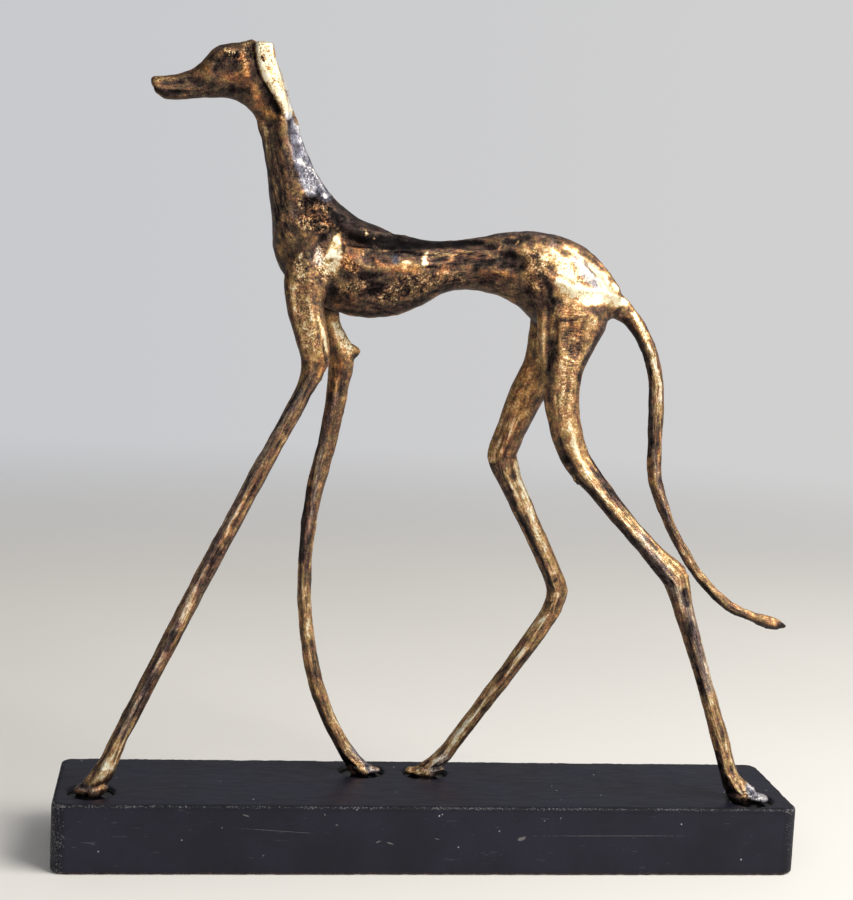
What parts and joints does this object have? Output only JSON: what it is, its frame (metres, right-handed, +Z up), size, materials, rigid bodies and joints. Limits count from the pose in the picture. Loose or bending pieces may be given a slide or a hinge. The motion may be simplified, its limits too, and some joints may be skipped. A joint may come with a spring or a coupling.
{
  "type": "greyhound statue",
  "caption": "Slender cast metal greyhound in mid stride, head raised and tail hanging low, standing in the filled holes of a long black-painted block.",
  "frame": {"origin": "middle of the block's underside, on the surface that it stands on", "axes": "+Z up, the dog faces -X, and its left flank faces -Y"},
  "size_m": [0.32, 0.066, 0.3467],
  "materials": {
    "gilded_casting": "rough cast metal, gold finish worn over a dark brown patina",
    "black_paint": "satin black paint, scuffed along its edges"
  },
  "bodies": {
    "root": {"greyhound": "gilded_casting", "plinth": "black_paint"}
  },
  "joints": []
}
